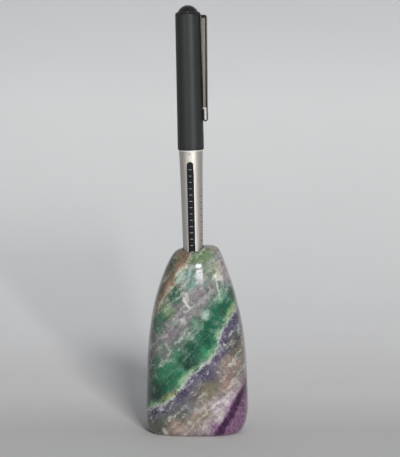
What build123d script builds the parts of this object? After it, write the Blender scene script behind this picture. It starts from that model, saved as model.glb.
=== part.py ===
from build123d import *
import os
from math import cos, pi, radians, sin

# A polished free-form stone with one drilled bore, and the capped pen that stands in it, tail down.
# Origin at the middle of the stone's flat base, +Z up, the front of the stone towards -Y, in millimetres.

os.makedirs("parts", exist_ok=True)

# Stone
stone_width = 47.0
stone_depth = 39.0
stone_height = 86.0
stone_squareness = 2.6
top_tilt = 6.0
top_forward_tilt = 5.0
base_edge_radius = 4.2
outline_points = 24

# Sections of the stone from its base to its crown: centre height, sideways shift, width, depth and tilt
section_shares = [
    (0.000, -0.018, 0.895, 0.975, 0.00),
    (0.105, -0.001, 1.000, 1.000, 0.00),
    (0.245, 0.000, 0.994, 0.997, 0.00),
    (0.385, 0.000, 0.972, 0.978, 0.05),
    (0.560, -0.003, 0.909, 0.919, 0.15),
    (0.705, -0.010, 0.804, 0.822, 0.30),
    (0.815, -0.011, 0.687, 0.708, 0.45),
    (0.895, -0.010, 0.579, 0.589, 0.60),
    (0.947, -0.006, 0.490, 0.455, 0.75),
    (0.976, -0.002, 0.413, 0.315, 0.90),
    (0.989, -0.010, 0.300, 0.165, 1.00),
    (0.991, -0.036, 0.150, 0.080, 1.00),
]

# Bore for the pen, and the way that the pen leans
bore_diameter = 10.0
bore_floor_height = 47.0
bore_floor_shift = -0.85
bore_rim_radius = 0.6
pen_lean = 1.25
pen_turn = 6.0

# Barrel
tail_diameter = 8.0
tail_flange_length = 2.5
tail_edge_radius = 0.8
tail_stem_length = 6.0
vent_diameter = 1.2
sleeve_length = 81.5
sleeve_end_diameter = 10.86
sleeve_wall = 0.45
barrel_collar_length = 4.0
barrel_bore_diameter = 6.2
push_clearance = 0.02

# Flare of the barrel from its tail to the cap: share of the length, share of the growth in radius
flare_shares = [(0.0, 0.0), (0.24, 0.23), (0.46, 0.43), (0.63, 0.58), (0.77, 0.71), (0.90, 0.86), (1.0, 1.0)]

# Window slot in the sleeve
slot_width = 3.1
slot_foot = 14.0
slot_head_gap = 6.2
slot_clearance = 0.04
slot_recess = 0.04

# Thread between the barrel and the grip section
thread_diameter = 8.5
thread_length = 6.0
thread_clearance = 0.05
thread_end_gap = 0.2

# Grip section and nose
section_collar_diameter = 10.0
section_collar_length = 2.5
collar_edge = 0.3
grip_length = 27.0
grip_foot_diameter = 9.8
grip_waist_diameter = 8.9
grip_end_diameter = 9.2
grip_waist_share = 0.62
section_neck_diameter = 8.0
section_neck_length = 2.5
groove_count = 6
groove_width = 0.7
groove_depth = 0.2
groove_pitch = 2.2
groove_start_share = 0.34
nose_stub_diameter = 5.5
nose_stub_length = 2.5
nose_length = 10.0
nose_end_diameter = 3.4
nose_bulge_share = 0.58
nose_hole_diameter = 2.6
nose_hole_length = 2.0
nose_throat_diameter = 4.8
nose_stub_gap = 0.2

# Refill
refill_diameter = 5.8
refill_wall = 0.5
refill_end_gap = 0.5
refill_run_clearance = 0.15
follower_foot_gap = 4.0
follower_length = 3.0
holder_seat = 10.5
holder_flange_length = 1.5
holder_spigot_length = 4.0
holder_body_diameter = 4.2
holder_front_diameter = 3.2
holder_taper_share = 0.45
holder_duct_diameter = 1.2
holder_run_clearance = 0.2
point_stem_diameter = 1.8
point_stem_length = 6.0
point_diameter = 2.3
point_length = 12.5
point_cone_length = 3.0
point_lip_diameter = 0.94
point_duct_diameter = 0.5
ball_diameter = 0.7
ball_clearance = 0.02
ball_grip = 0.08

# Cap
cap_mouth_diameter = 12.0
cap_top_diameter = 11.6
cap_length = 62.7
cap_overlap = 1.0
cap_shoulder_radius = 1.25
cap_lip_edge = 0.25
cap_mouth_bore = 11.16
cap_mouth_depth = 3.0
cap_bore = 11.0
cap_roof = 2.4
liner_bore = 8.9
liner_roof = 2.0
seal_diameter = 4.0
seal_length = 3.4
seal_gap = 0.3
nose_room = 1.0

# Dome on the cap
dome_diameter = 9.0
dome_ring = 0.25
dome_height = 3.1
dome_stem_diameter = 4.0
dome_stem_length = 5.0

# Clip
clip_strip = 0.45
clip_strip_width = 3.0
clip_width = 4.0
clip_top_reach = 8.6
clip_low_reach = 8.1
clip_inner_reach = 6.15
clip_top_drop = 1.4
clip_channel_length = 41.6
clip_corner_radius = 1.0
clip_corner_cut = 0.4
clip_edge_radius = 0.3
clip_foot_length = 6.4
clip_foot_gap = 0.1
clip_foot_return = 4.6
tongue_reach = 3.9
tongue_clearance = 0.22

overrun = 1.0

# The pen's own planes: across its axis at the bore's floor, and along its axis with the clip on the right
lean = radians(pen_lean)
turn = radians(pen_turn)
pen_foot = Vector(bore_floor_shift, 0, bore_floor_height)
pen_up = Vector(-sin(lean), 0, cos(lean))
pen_right = Vector(cos(lean), 0, sin(lean))
front = Vector(0, -1, 0)
clip_way = pen_right * cos(turn) + front * sin(turn)
window_way = front * cos(turn) - pen_right * sin(turn)
pen_base = Plane(origin=pen_foot, x_dir=clip_way, z_dir=pen_up)
pen_side = Plane(origin=pen_foot, x_dir=clip_way, z_dir=window_way)
pen_axis = Axis(pen_foot, pen_up)

# Stations along the pen's axis, from its tail
sleeve_foot = tail_flange_length
sleeve_end = sleeve_foot + sleeve_length
barrel_end = sleeve_end + barrel_collar_length
socket_floor = barrel_end - thread_length
slot_top = sleeve_end - slot_head_gap
stem_end = tail_flange_length + tail_stem_length
grip_foot = barrel_end + section_collar_length
grip_end = grip_foot + grip_length
section_end = grip_end + section_neck_length
nose_end = section_end + nose_length
refill_foot = stem_end + refill_end_gap
holder_seat_end = barrel_end + holder_seat
holder_flange_foot = holder_seat_end - holder_flange_length
holder_foot = holder_flange_foot - holder_spigot_length
holder_end = section_end
point_end = holder_end + point_length
ball_centre = point_end - ball_grip
ball_top = ball_centre + ball_diameter / 2
cap_mouth = sleeve_end - cap_overlap
cap_top = cap_mouth + cap_length
cap_ceiling = cap_top - cap_roof
seal_foot = ball_top + seal_gap
seal_end = seal_foot + seal_length
liner_end = seal_end + liner_roof
clip_top = cap_top - clip_top_drop

# Radii that more than one piece is made from
tail_radius = tail_diameter / 2
sleeve_end_radius = sleeve_end_diameter / 2
tube_bore_radius = barrel_bore_diameter / 2
cap_bore_radius = cap_bore / 2
refill_radius = refill_diameter / 2
refill_bore_radius = refill_radius - refill_wall
slot_length = slot_top - slot_foot
slot_middle = (slot_top + slot_foot) / 2


def barrel_curve(inset):
    """The barrel's flared side, from its tail to its mouth, drawn inwards by an inset."""
    growth = sleeve_end_radius - tail_radius
    return [
        (tail_radius + growth * radius_share - inset, sleeve_foot + sleeve_length * length_share)
        for length_share, radius_share in flare_shares
    ]


def stone_outline(width, depth):
    """Points of a superellipse at even angles, starting at the back."""
    points = []
    for step in range(outline_points):
        angle = pi / 2 + 2 * pi * step / outline_points
        across = abs(cos(angle) / (width / 2)) ** stone_squareness
        along = abs(sin(angle) / (depth / 2)) ** stone_squareness
        radius = (across + along) ** (-1 / stone_squareness)
        points.append((radius * cos(angle), radius * sin(angle)))
    return points


# The stone, lofted through sections that tilt left and forwards towards its slanting crown
with BuildPart() as stone_body:
    for height_share, shift_share, width_share, depth_share, tilt_share in section_shares:
        tilt = radians(top_tilt * tilt_share)
        forward_tilt = radians(top_forward_tilt * tilt_share)
        section_plane = Plane(
            origin=(stone_width * shift_share, 0, stone_height * height_share),
            x_dir=(cos(tilt), 0, sin(tilt)),
            z_dir=(-sin(tilt) * cos(forward_tilt), -sin(forward_tilt), cos(tilt) * cos(forward_tilt)),
        )
        with BuildSketch(section_plane):
            with BuildLine():
                Spline(*stone_outline(stone_width * width_share, stone_depth * depth_share), periodic=True)
            make_face()
    loft()
    fillet(stone_body.faces().sort_by(Axis.Z)[0].edges(), base_edge_radius)
    with BuildSketch(pen_base):
        Circle(bore_diameter / 2)
    extrude(amount=stone_height, mode=Mode.SUBTRACT)
    bore_middle = (bore_floor_height + stone_height) / 2
    rim = stone_body.edges(Select.LAST).filter_by(lambda edge: edge.center().Z > bore_middle)
    fillet(rim.filter_by(GeomType.LINE, reverse=True), bore_rim_radius)
stone_body.part.label = "stone_body"
export_step(stone_body.part, "parts/stone_body.step")

# The barrel's outer sleeve, with the long slot that shows the ink
with BuildPart() as barrel_sleeve:
    with BuildSketch(pen_side):
        with BuildLine():
            outer_side = Spline(*barrel_curve(0))
            inner_side = Spline(*barrel_curve(sleeve_wall))
            Line(outer_side @ 0, inner_side @ 0)
            Line(outer_side @ 1, inner_side @ 1)
        make_face()
    revolve(axis=pen_axis)
    with BuildSketch(pen_side):
        with Locations((0, slot_middle)):
            SlotOverall(slot_length, slot_width, rotation=90)
    extrude(amount=sleeve_end_diameter, mode=Mode.SUBTRACT)
barrel_sleeve.part.label = "barrel_sleeve"
export_step(barrel_sleeve.part, "parts/barrel_sleeve.step")

# The clear inner barrel: its strip fills the slot, and its collar holds the thread for the grip section
with BuildPart() as window_tube:
    with BuildSketch(pen_side):
        with BuildLine():
            strip_side = Spline(*barrel_curve(slot_recess))
            Line(strip_side @ 0, (0, sleeve_foot))
            Line((0, sleeve_foot), (0, sleeve_end))
            Line((0, sleeve_end), strip_side @ 1)
        make_face()
    revolve(axis=pen_axis)
    with BuildSketch(pen_side):
        with Locations((0, slot_middle)):
            SlotOverall(slot_length - 2 * slot_clearance, slot_width - 2 * slot_clearance, rotation=90)
    extrude(amount=sleeve_end_diameter, mode=Mode.INTERSECT)
    with BuildSketch(pen_side):
        collar_radius = cap_bore_radius - collar_edge
        with BuildLine():
            tube_side = Spline(*barrel_curve(sleeve_wall + push_clearance))
            Line(tube_side @ 0, (0, sleeve_foot))
            Line((0, sleeve_foot), (0, barrel_end))
            Line((0, barrel_end), (collar_radius, barrel_end))
            Line((collar_radius, barrel_end), (collar_radius, sleeve_end))
            Line((collar_radius, sleeve_end), tube_side @ 1)
        make_face()
    revolve(axis=pen_axis)
    with BuildSketch(pen_base.offset(sleeve_foot)):
        Circle(tube_bore_radius)
    extrude(amount=barrel_end, mode=Mode.SUBTRACT)
    with BuildSketch(pen_base.offset(socket_floor)):
        Circle(thread_diameter / 2)
    extrude(amount=barrel_end, mode=Mode.SUBTRACT)
window_tube.part.label = "window_tube"
export_step(window_tube.part, "parts/window_tube.step")

# The plug that closes the tail and stands on the bore's floor
with BuildPart() as tail_plug:
    with BuildSketch(pen_base):
        Circle(tail_radius)
    extrude(amount=tail_flange_length)
    fillet(tail_plug.edges().group_by(pen_axis)[0], tail_edge_radius)
    with BuildSketch(pen_base.offset(tail_flange_length)):
        Circle(tube_bore_radius - push_clearance)
    extrude(amount=tail_stem_length)
    with BuildSketch(pen_base):
        Circle(vent_diameter / 2)
    extrude(amount=stem_end, mode=Mode.SUBTRACT)
tail_plug.part.label = "tail_plug"
export_step(tail_plug.part, "parts/tail_plug.step")

# The refill's tube
with BuildPart() as ink_tube:
    with BuildSketch(pen_base.offset(refill_foot)):
        Circle(refill_radius)
        Circle(refill_bore_radius, mode=Mode.SUBTRACT)
    extrude(amount=holder_flange_foot - refill_foot)
ink_tube.part.label = "ink_tube"
export_step(ink_tube.part, "parts/ink_tube.step")

# The grease that follows the ink, and the ink in front of it
follower_foot = refill_foot + follower_foot_gap
ink_foot = follower_foot + follower_length
with BuildPart() as ink_follower:
    with BuildSketch(pen_base.offset(follower_foot)):
        Circle(refill_bore_radius - push_clearance)
    extrude(amount=follower_length)
ink_follower.part.label = "ink_follower"
export_step(ink_follower.part, "parts/ink_follower.step")

with BuildPart() as ink:
    with BuildSketch(pen_base.offset(ink_foot)):
        Circle(refill_bore_radius - push_clearance)
    extrude(amount=holder_foot - ink_foot)
ink.part.label = "ink"
export_step(ink.part, "parts/ink.step")

# The plug at the refill's front: spigot in the tube, flange on the tube's end, tapered nose
with BuildPart() as tip_holder:
    holder_radius = holder_body_diameter / 2
    holder_front_radius = holder_front_diameter / 2
    duct_radius = holder_duct_diameter / 2
    spigot_radius = refill_bore_radius - push_clearance
    stem_radius = point_stem_diameter / 2 + push_clearance
    taper_foot = holder_end - (holder_end - holder_seat_end) * holder_taper_share
    stem_foot = holder_end - point_stem_length
    with BuildSketch(pen_side):
        with BuildLine():
            Polyline(
                (duct_radius, holder_foot),
                (spigot_radius, holder_foot),
                (spigot_radius, holder_flange_foot),
                (refill_radius, holder_flange_foot),
                (refill_radius, holder_seat_end),
                (holder_radius, holder_seat_end),
                (holder_radius, taper_foot),
                (holder_front_radius, holder_end),
                (stem_radius, holder_end),
                (stem_radius, stem_foot),
                (duct_radius, stem_foot),
                close=True,
            )
        make_face()
    revolve(axis=pen_axis)
tip_holder.part.label = "tip_holder"
export_step(tip_holder.part, "parts/tip_holder.step")

# The metal point, with the socket that its ball turns in
with BuildPart() as writing_point:
    with BuildSketch(pen_side):
        with BuildLine():
            Polyline(
                (point_duct_diameter / 2, stem_foot),
                (point_stem_diameter / 2, stem_foot),
                (point_stem_diameter / 2, holder_end),
                (point_diameter / 2, holder_end),
                (point_diameter / 2, point_end - point_cone_length),
                (point_lip_diameter / 2, point_end),
                (point_duct_diameter / 2, point_end),
                close=True,
            )
        make_face()
    revolve(axis=pen_axis)
    with BuildSketch(pen_side):
        with Locations((0, ball_centre)):
            Circle(ball_diameter / 2 + ball_clearance)
            Rectangle(ball_diameter, 2 * ball_diameter, align=(Align.MAX, Align.CENTER), mode=Mode.SUBTRACT)
    revolve(axis=pen_axis, mode=Mode.SUBTRACT)
writing_point.part.label = "writing_point"
export_step(writing_point.part, "parts/writing_point.step")

with BuildPart(pen_base.offset(ball_centre)) as point_ball:
    Sphere(ball_diameter / 2)
point_ball.part.label = "point_ball"
export_step(point_ball.part, "parts/point_ball.step")

# The grip section: threaded spigot, collar, waisted grip with rings, neck and stub for the nose
with BuildPart() as grip_section:
    spigot_radius = thread_diameter / 2 - thread_clearance
    spigot_foot = socket_floor + thread_end_gap
    collar_radius = section_collar_diameter / 2
    grip_radius = grip_foot_diameter / 2
    grip_end_radius = grip_end_diameter / 2
    waist = (grip_waist_diameter / 2, grip_foot + grip_length * grip_waist_share)
    neck_radius = section_neck_diameter / 2
    stub_radius = nose_stub_diameter / 2
    stub_end = section_end + nose_stub_length
    refill_room = refill_radius + refill_run_clearance
    holder_room = holder_body_diameter / 2 + holder_run_clearance
    with BuildSketch(pen_side):
        with BuildLine():
            grip_side = Spline((grip_radius, grip_foot), waist, (grip_end_radius, grip_end))
            Polyline(
                grip_side @ 1,
                (neck_radius, grip_end),
                (neck_radius, section_end),
                (stub_radius, section_end),
                (stub_radius, stub_end),
                (holder_room, stub_end),
                (holder_room, holder_seat_end),
                (refill_room, holder_seat_end),
                (refill_room, spigot_foot),
                (spigot_radius, spigot_foot),
                (spigot_radius, barrel_end),
                (collar_radius, barrel_end),
                (collar_radius, grip_foot - collar_edge),
                (collar_radius - collar_edge, grip_foot),
                grip_side @ 0,
            )
        make_face()
    revolve(axis=pen_axis)
    with BuildSketch(pen_side):
        for ring in range(groove_count):
            spot = grip_side @ (groove_start_share + groove_pitch * ring / grip_length)
            with Locations((spot.X, spot.Y)):
                Rectangle(2 * groove_depth, groove_width)
    revolve(axis=pen_axis, mode=Mode.SUBTRACT)
grip_section.part.label = "grip_section"
export_step(grip_section.part, "parts/grip_section.step")

# The metal nose, seated on the section's stub
with BuildPart() as nose_cone:
    nose_radius = section_neck_diameter / 2 - collar_edge
    nose_end_radius = nose_end_diameter / 2
    bulge_height = section_end + nose_length * nose_bulge_share
    bulge_radius = nose_end_radius + (nose_radius - nose_end_radius) * nose_bulge_share
    stub_room = nose_stub_diameter / 2 + push_clearance
    hole_radius = nose_hole_diameter / 2
    with BuildSketch(pen_side):
        with BuildLine():
            nose_side = ThreePointArc(
                (nose_radius, section_end),
                (bulge_radius, bulge_height),
                (nose_end_radius, nose_end),
            )
            Polyline(
                nose_side @ 1,
                (hole_radius, nose_end),
                (hole_radius, nose_end - nose_hole_length),
                (nose_throat_diameter / 2, stub_end + nose_stub_gap),
                (stub_room, stub_end + nose_stub_gap),
                (stub_room, section_end),
                nose_side @ 0,
            )
        make_face()
    revolve(axis=pen_axis)
nose_cone.part.label = "nose_cone"
export_step(nose_cone.part, "parts/nose_cone.step")

# The cap's shell: rounded shoulder, wider mouth, hole for the dome's stem and pocket for the clip's tongue
with BuildPart() as cap_shell:
    cap_mouth_radius = cap_mouth_diameter / 2
    cap_top_radius = cap_top_diameter / 2
    mouth_bore_radius = cap_mouth_bore / 2
    with BuildSketch(pen_side):
        with BuildLine():
            Polyline(
                (0, cap_mouth),
                (cap_mouth_radius, cap_mouth),
                (cap_top_radius, cap_top),
                (0, cap_top),
                close=True,
            )
        make_face()
    revolve(axis=pen_axis)
    fillet(cap_shell.edges().group_by(pen_axis)[-1], cap_shoulder_radius)
    chamfer(cap_shell.edges().group_by(pen_axis)[0], cap_lip_edge)
    with BuildSketch(pen_base.offset(cap_mouth)):
        Circle(cap_bore_radius)
    extrude(amount=cap_ceiling - cap_mouth, mode=Mode.SUBTRACT)
    with BuildSketch(pen_base.offset(cap_mouth)):
        Circle(mouth_bore_radius)
    extrude(amount=cap_mouth_depth, mode=Mode.SUBTRACT)
    with BuildSketch(pen_base.offset(cap_ceiling)):
        Circle(dome_stem_diameter / 2 + push_clearance)
    extrude(amount=cap_roof, mode=Mode.SUBTRACT)
    with BuildSketch(pen_side):
        with Locations((tongue_reach - tongue_clearance, clip_top - clip_strip / 2)):
            Rectangle(
                cap_mouth_radius,
                clip_strip + 2 * tongue_clearance,
                align=(Align.MIN, Align.CENTER),
            )
    extrude(amount=clip_strip_width / 2 + tongue_clearance, both=True, mode=Mode.SUBTRACT)
cap_shell.part.label = "cap_shell"
export_step(cap_shell.part, "parts/cap_shell.step")

# The inner cap: its rim seats on the grip, and its narrow end holds the pad that closes the point
with BuildPart() as cap_liner:
    with BuildSketch(pen_base.offset(grip_end)):
        Circle(cap_bore_radius - push_clearance)
    extrude(amount=liner_end - grip_end)
    with BuildSketch(pen_base.offset(grip_end)):
        Circle(liner_bore / 2)
    extrude(amount=nose_end + nose_room - grip_end, mode=Mode.SUBTRACT)
    with BuildSketch(pen_base.offset(nose_end)):
        Circle(seal_diameter / 2 + push_clearance)
    extrude(amount=seal_end - nose_end, mode=Mode.SUBTRACT)
cap_liner.part.label = "cap_liner"
export_step(cap_liner.part, "parts/cap_liner.step")

with BuildPart() as tip_seal:
    with BuildSketch(pen_base.offset(seal_foot)):
        Circle(seal_diameter / 2)
    extrude(amount=seal_length)
tip_seal.part.label = "tip_seal"
export_step(tip_seal.part, "parts/tip_seal.step")

# The dome that closes the cap's top
with BuildPart() as finial:
    dome_radius = dome_diameter / 2
    dome_foot = cap_top + dome_ring
    dome_rise = dome_height - dome_ring
    dome_ball_radius = (dome_radius**2 + dome_rise**2) / (2 * dome_rise)
    with BuildSketch(pen_side):
        with BuildLine():
            dome_side = RadiusArc((dome_radius, dome_foot), (0, cap_top + dome_height), -dome_ball_radius)
            Polyline(
                dome_side @ 0,
                (dome_radius, cap_top),
                (dome_stem_diameter / 2, cap_top),
                (dome_stem_diameter / 2, cap_top - dome_stem_length),
                (0, cap_top - dome_stem_length),
                dome_side @ 1,
            )
        make_face()
    revolve(axis=pen_axis)
finial.part.label = "finial"
export_step(finial.part, "parts/finial.step")

# The clip, one bent strip: tongue, top bend, plate with two side flanges, and a foot curled back on the cap
with BuildPart() as clip:
    half_strip = clip_strip / 2
    channel_top = clip_top - clip_strip
    channel_foot = channel_top - clip_channel_length
    bend_foot = clip_top - half_strip - clip_corner_radius
    with BuildSketch(pen_side):
        with BuildLine():
            Polyline(
                (clip_inner_reach, channel_foot),
                (clip_low_reach, channel_foot),
                (clip_top_reach, bend_foot),
                (clip_top_reach - clip_corner_cut, channel_top),
                (clip_inner_reach, channel_top),
                close=True,
            )
        make_face()
    extrude(amount=clip_width / 2, both=True)
    long_edges = clip.edges().filter_by(lambda edge: edge.length > clip_channel_length / 2)
    fillet(long_edges.sort_by(Axis(pen_foot, clip_way))[-2:], clip_edge_radius)
    with BuildSketch(pen_side):
        with BuildLine():
            Polyline(
                (clip_inner_reach - overrun, channel_foot - overrun),
                (clip_low_reach - clip_strip, channel_foot - overrun),
                (clip_low_reach - clip_strip, channel_foot),
                (clip_top_reach - clip_strip, channel_top),
                (clip_top_reach - clip_strip, channel_top + overrun),
                (clip_inner_reach - overrun, channel_top + overrun),
                close=True,
            )
        make_face()
    extrude(amount=clip_width / 2 - clip_strip, both=True, mode=Mode.SUBTRACT)
    with BuildSketch(pen_side):
        top_reach = clip_top_reach - half_strip
        low_reach = clip_low_reach - half_strip
        foot_inner_reach = cap_mouth_radius + clip_foot_gap + half_strip
        foot_radius = (low_reach - foot_inner_reach) / 2
        foot_bend = channel_foot - clip_foot_length + half_strip + foot_radius
        tongue_height = clip_top - half_strip
        with BuildLine():
            tongue = Line((tongue_reach, tongue_height), (top_reach - clip_corner_radius, tongue_height))
            corner = JernArc(tongue @ 1, (1, 0), clip_corner_radius, -90)
            plate = Line(corner @ 1, (low_reach, channel_foot))
            drop = Line(plate @ 1, (low_reach, foot_bend))
            curl = JernArc(drop @ 1, (0, -1), foot_radius, -180)
            Line(curl @ 1, (foot_inner_reach, foot_bend + clip_foot_return))
        trace(line_width=clip_strip)
    extrude(amount=clip_strip_width / 2, both=True)
clip.part.label = "clip"
export_step(clip.part, "parts/clip.step")
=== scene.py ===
import bmesh
import bpy
from math import cos, pi, radians, sin
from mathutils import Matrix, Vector
from mathutils.bvhtree import BVHTree


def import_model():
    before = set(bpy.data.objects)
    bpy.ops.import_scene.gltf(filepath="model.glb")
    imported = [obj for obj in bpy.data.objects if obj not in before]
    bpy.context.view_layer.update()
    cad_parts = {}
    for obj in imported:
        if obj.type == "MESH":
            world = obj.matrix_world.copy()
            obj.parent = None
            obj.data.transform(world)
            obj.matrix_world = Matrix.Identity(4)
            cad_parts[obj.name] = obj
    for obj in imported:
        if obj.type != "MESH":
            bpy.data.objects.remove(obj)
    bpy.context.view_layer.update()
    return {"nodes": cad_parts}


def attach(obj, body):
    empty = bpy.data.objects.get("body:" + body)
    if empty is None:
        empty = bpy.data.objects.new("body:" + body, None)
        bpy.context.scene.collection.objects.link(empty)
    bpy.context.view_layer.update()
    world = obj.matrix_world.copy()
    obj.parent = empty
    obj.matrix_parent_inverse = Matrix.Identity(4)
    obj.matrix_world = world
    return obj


# A polished free-form fluorite stone with a capped pen standing in its bore. Metres, +Z up, front towards -Y.

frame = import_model()
nodes = frame["nodes"]

# The pen's own directions: along its axis, towards the clip, and towards the window in its side
MM = 0.001
LEAN = radians(1.25)
TURN = radians(6.0)
PEN_FOOT = Vector((-0.85, 0.0, 47.0)) * MM
PEN_UP = Vector((-sin(LEAN), 0.0, cos(LEAN)))
PEN_RIGHT = Vector((cos(LEAN), 0.0, sin(LEAN)))
FRONT = Vector((0.0, -1.0, 0.0))
CLIP_WAY = PEN_RIGHT * cos(TURN) + FRONT * sin(TURN)
WINDOW_WAY = FRONT * cos(TURN) - PEN_RIGHT * sin(TURN)


def tint(red, green, blue):
    """A colour given as it looks on screen, as the shader wants it."""
    parts = [c / 255 for c in (red, green, blue)]
    return tuple(c / 12.92 if c < 0.04045 else ((c + 0.055) / 1.055) ** 2.4 for c in parts) + (1.0,)


class Paint:
    """One procedural material: a Principled shader, and a short call for each kind of node."""

    def __init__(self, name, **finish):
        self.material = bpy.data.materials.new(name)
        self.material.use_nodes = True
        self.tree = self.material.node_tree
        self.tree.nodes.clear()
        self.output = self.tree.nodes.new("ShaderNodeOutputMaterial")
        self.shader = self.tree.nodes.new("ShaderNodeBsdfPrincipled")
        self.tree.links.new(self.shader.outputs["BSDF"], self.output.inputs["Surface"])
        for socket, value in finish.items():
            self.shader.inputs[socket.replace("_", " ")].default_value = value
        where = self.add("ShaderNodeTexCoord", {}, {}).outputs["Object"]
        self.place = self.vector("MULTIPLY", where, (1000.0, 1000.0, 1000.0))

    def add(self, kind, settings, inputs):
        node = self.tree.nodes.new(kind)
        for key, value in settings.items():
            setattr(node, key, value)
        for key, value in inputs.items():
            self.feed(node.inputs[key], value)
        return node

    def feed(self, socket, value):
        if isinstance(value, bpy.types.NodeSocket):
            self.tree.links.new(value, socket)
        else:
            socket.default_value = value

    def finish(self, **sockets):
        for socket, value in sockets.items():
            self.feed(self.shader.inputs[socket.replace("_", " ")], value)

    def math(self, operation, *values):
        return self.add("ShaderNodeMath", {"operation": operation}, dict(enumerate(values))).outputs[0]

    def vector(self, operation, *values):
        return self.add("ShaderNodeVectorMath", {"operation": operation}, dict(enumerate(values))).outputs[0]

    def length(self, value):
        return self.add("ShaderNodeVectorMath", {"operation": "LENGTH"}, {0: value}).outputs["Value"]

    def along(self, place, way):
        """The distance of each point along a direction, in millimetres."""
        kind = {"operation": "DOT_PRODUCT"}
        return self.add("ShaderNodeVectorMath", kind, {0: place, 1: way}).outputs["Value"]

    def split(self, place):
        return self.add("ShaderNodeSeparateXYZ", {}, {0: place}).outputs

    def join(self, x, y, z):
        return self.add("ShaderNodeCombineXYZ", {}, {0: x, 1: y, 2: z}).outputs[0]

    def noise(self, place, size, detail=3.0, roughness=0.5, shift=0.0):
        """Soft noise from 0 to 1, with features of a size in millimetres."""
        return self.cloud(place, size, detail, roughness, shift).outputs["Fac"]

    def cloud(self, place, size, detail=3.0, roughness=0.5, shift=0.0):
        moved = self.vector("ADD", place, (shift, 2 * shift, -shift)) if shift else place
        inputs = {"Vector": moved, "Scale": 1 / size, "Detail": detail, "Roughness": roughness}
        return self.add("ShaderNodeTexNoise", {}, inputs)

    def cells(self, place, size):
        return self.add("ShaderNodeTexVoronoi", {}, {"Vector": place, "Scale": 1 / size})

    def warp(self, place, size, reach, shift=0.0):
        """Places pushed about by noise, so that edges drawn on them wander."""
        pushed = self.cloud(place, size, 2.0, 0.5, shift).outputs["Color"]
        centred = self.vector("SUBTRACT", pushed, (0.5, 0.5, 0.5))
        return self.vector("ADD", place, self.vector("MULTIPLY", centred, (reach, reach, reach)))

    def rise(self, value, low, high):
        """0 below low, 1 above high, smooth between; falls instead where low is above high."""
        kind = {"interpolation_type": "SMOOTHSTEP"}
        if low < high:
            return self.add("ShaderNodeMapRange", kind, {0: value, 1: low, 2: high}).outputs[0]
        return self.add("ShaderNodeMapRange", kind, {0: value, 1: high, 2: low, 3: 1.0, 4: 0.0}).outputs[0]

    def line(self, value, middle, half):
        """1 on a level of a field, falling to 0 at half a width on either side."""
        away = self.math("ABSOLUTE", self.math("SUBTRACT", value, middle))
        return self.rise(away, half, 0.0)

    def ramp(self, value, low, high, stops):
        """Colours along a field, each at its own level."""
        share = self.add("ShaderNodeMapRange", {}, {0: value, 1: low, 2: high}).outputs[0]
        node = self.add("ShaderNodeValToRGB", {}, {0: share})
        elements = node.color_ramp.elements
        while len(elements) < len(stops):
            elements.new(0.5)
        for element, (level, colour) in zip(elements, stops):
            element.position = (level - low) / (high - low)
            element.color = colour
        return node.outputs[0]

    def curved(self, value, points, top):
        """A drawn line: its height for each value, from points in millimetres, none higher than top."""
        low, high = points[0][0], points[-1][0]
        share = self.add("ShaderNodeMapRange", {}, {0: value, 1: low, 2: high}).outputs[0]
        node = self.add("ShaderNodeFloatCurve", {}, {"Value": share})
        line = node.mapping.curves[0]
        while len(line.points) < len(points):
            line.points.new(0.5, 0.5)
        for point, (at, height) in zip(line.points, points):
            point.location = ((at - low) / (high - low), height / top)
            point.handle_type = "AUTO"
        node.mapping.update()
        return self.times(node.outputs[0], top)

    def mix(self, share, first, second, blend="MIX"):
        node = self.add("ShaderNodeMix", {"data_type": "RGBA", "blend_type": blend}, {0: share})
        self.feed(node.inputs[6], first)
        self.feed(node.inputs[7], second)
        return node.outputs[2]

    def shaded(self, colour, shade):
        """A colour times a plain field."""
        return self.mix(1.0, colour, self.join(shade, shade, shade), "MULTIPLY")

    def times(self, *values):
        product = values[0]
        for value in values[1:]:
            product = self.math("MULTIPLY", product, value)
        return product

    def scaled(self, value, low, high):
        """A 0 to 1 field spread from low to high."""
        return self.add("ShaderNodeMapRange", {}, {0: value, 3: low, 4: high}).outputs[0]

    def bump(self, height, depth, strength=1.0):
        """Relief of a depth in millimetres."""
        inputs = {"Height": height, "Distance": depth * MM, "Strength": strength}
        self.feed(self.shader.inputs["Normal"], self.add("ShaderNodeBump", {}, inputs).outputs[0])


# Fluorite: tilted bands of colour with clouded patches, a pale crust between the green and the violet,
# and veils. Every length is in millimetres

DEEP_GREEN = tint(12, 62, 46)
EMERALD = tint(20, 98, 72)
GREEN = tint(44, 118, 82)
BRIGHT_GREEN = tint(58, 150, 102)
DARK_TEAL = tint(30, 58, 48)
MINT = tint(142, 176, 150)
PALE_MINT = tint(184, 204, 190)
TEAL_GREY = tint(112, 146, 134)
LEAF = tint(122, 150, 106)
MOSS = tint(112, 138, 98)
OLIVE = tint(112, 106, 84)
GOLD = tint(164, 142, 66)
CREAM = tint(206, 202, 176)
RUST = tint(140, 108, 92)
TAN = tint(156, 134, 120)
ROSE_TAN = tint(154, 124, 116)
LILAC_GREY = tint(150, 140, 146)
DARK_LILAC = tint(120, 108, 116)
PINK_WHITE = tint(196, 182, 190)
WHITE = tint(222, 220, 212)
GREY_GREEN = tint(88, 94, 84)
BLUE_GREY = tint(104, 110, 116)
MAUVE = tint(126, 84, 124)
VIOLET = tint(70, 62, 92)
DARK_GREY = tint(74, 68, 78)
PURPLE = tint(52, 20, 54)
MAGENTA = tint(112, 74, 106)
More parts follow.
